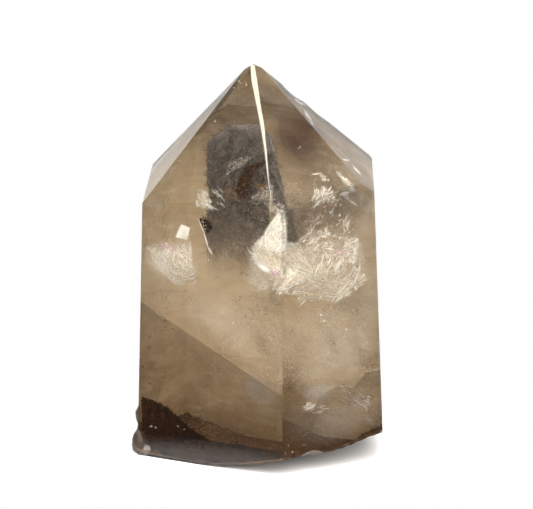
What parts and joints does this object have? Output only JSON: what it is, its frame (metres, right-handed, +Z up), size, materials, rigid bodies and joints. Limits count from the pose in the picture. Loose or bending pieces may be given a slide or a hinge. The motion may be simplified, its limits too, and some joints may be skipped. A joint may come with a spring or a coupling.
{
  "type": "polished smoky quartz point",
  "caption": "Faceted smoky quartz tower that stands on its ground base, with a dark ghost crystal and pale veils sealed inside.",
  "frame": {"origin": "middle of the bounding box's bottom, on the plane that the stone stands on", "axes": "+Z up through the tip, -Y toward the viewer in the picture, +X to the viewer's right"},
  "size_m": [0.0606, 0.0602, 0.092],
  "materials": {
    "smoky_quartz": "polished facets, natural broken base"
  },
  "bodies": {
    "root": {"quartz_tower": "smoky_quartz"}
  },
  "joints": []
}
